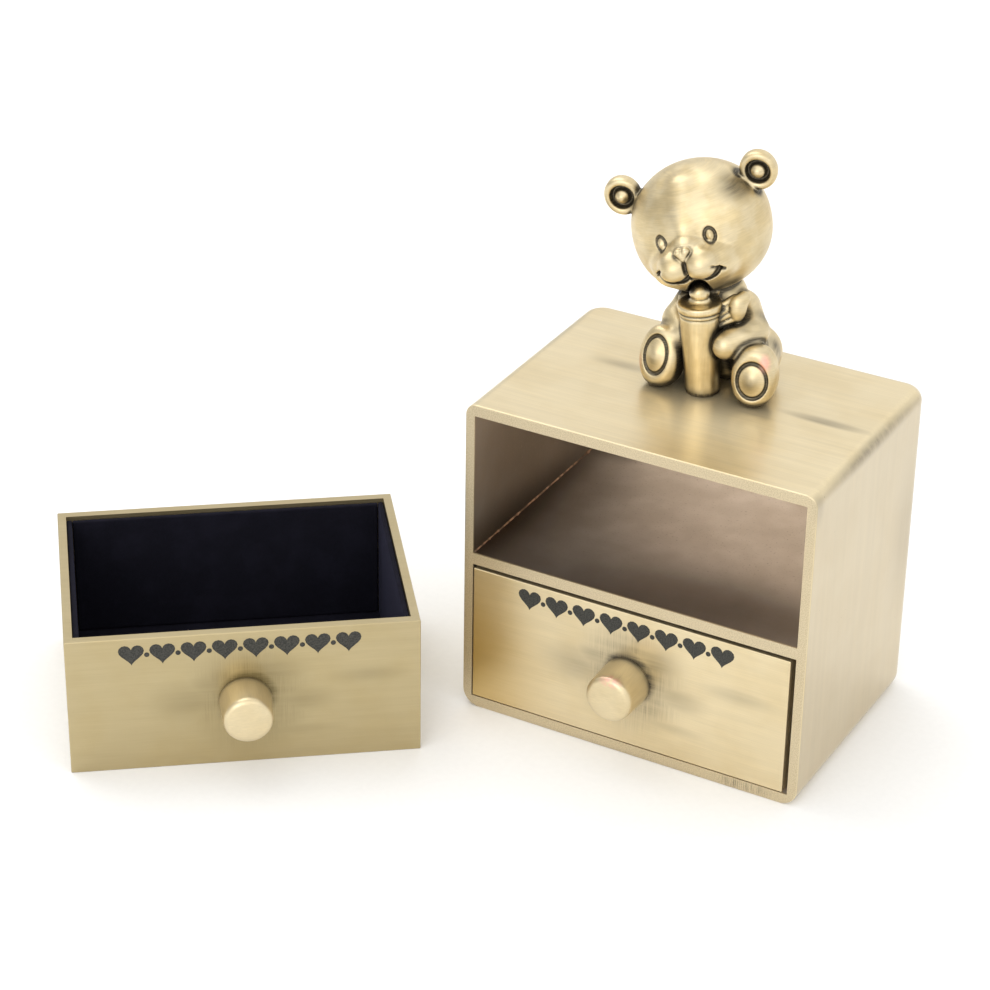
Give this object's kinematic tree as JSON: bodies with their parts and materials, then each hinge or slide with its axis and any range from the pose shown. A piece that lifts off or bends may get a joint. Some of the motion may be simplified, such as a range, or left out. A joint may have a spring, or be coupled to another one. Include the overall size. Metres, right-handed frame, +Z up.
{
  "type": "baby tooth box",
  "caption": "Small metal keepsake cabinet with lined drawers on round knobs and a sitting bear with a bottle on top; the upper drawer stands beside it.",
  "frame": {"origin": "centre of the cabinet's underside", "axes": "+X to the cabinet's right seen from the front, +Y to its back, +Z up"},
  "size_m": [0.1368, 0.0985, 0.0997],
  "materials": {
    "antique_brass": "brushed antique brass plating with dark patina",
    "raw_brass": "plated, unpolished, stained brown",
    "navy_flock": "flocked velvet on card",
    "screw_steel": "zinc plated"
  },
  "bodies": {
    "cabinet": {"cabinet_casing": "antique_brass", "divider_shelf": "raw_brass", "bear_body": "antique_brass", "bear_head": "antique_brass", "feeding_bottle": "antique_brass", "bear_fixing_screws": "screw_steel"},
    "lower_drawer": {"lower_tray": "antique_brass", "lower_knob": "antique_brass", "lower_knob_screw": "screw_steel", "lower_lining_floor": "navy_flock", "lower_lining_left": "navy_flock", "lower_lining_right": "navy_flock", "lower_lining_front": "navy_flock", "lower_lining_back": "navy_flock"},
    "upper_drawer": {"upper_tray": "antique_brass", "upper_knob": "antique_brass", "upper_knob_screw": "screw_steel", "upper_lining_floor": "navy_flock", "upper_lining_left": "navy_flock", "upper_lining_right": "navy_flock", "upper_lining_front": "navy_flock", "upper_lining_back": "navy_flock"}
  },
  "joints": [
    {"name": "lower_drawer_slide", "type": "slide", "parent": "cabinet", "child": "lower_drawer", "axis": [0, -1, 0], "range_m": [0, 0.044]},
    {"name": "upper_drawer_lift", "type": "slide", "parent": "cabinet", "child": "upper_drawer", "axis": [0, 0, 1], "range_m": [0, 0.031]}
  ]
}
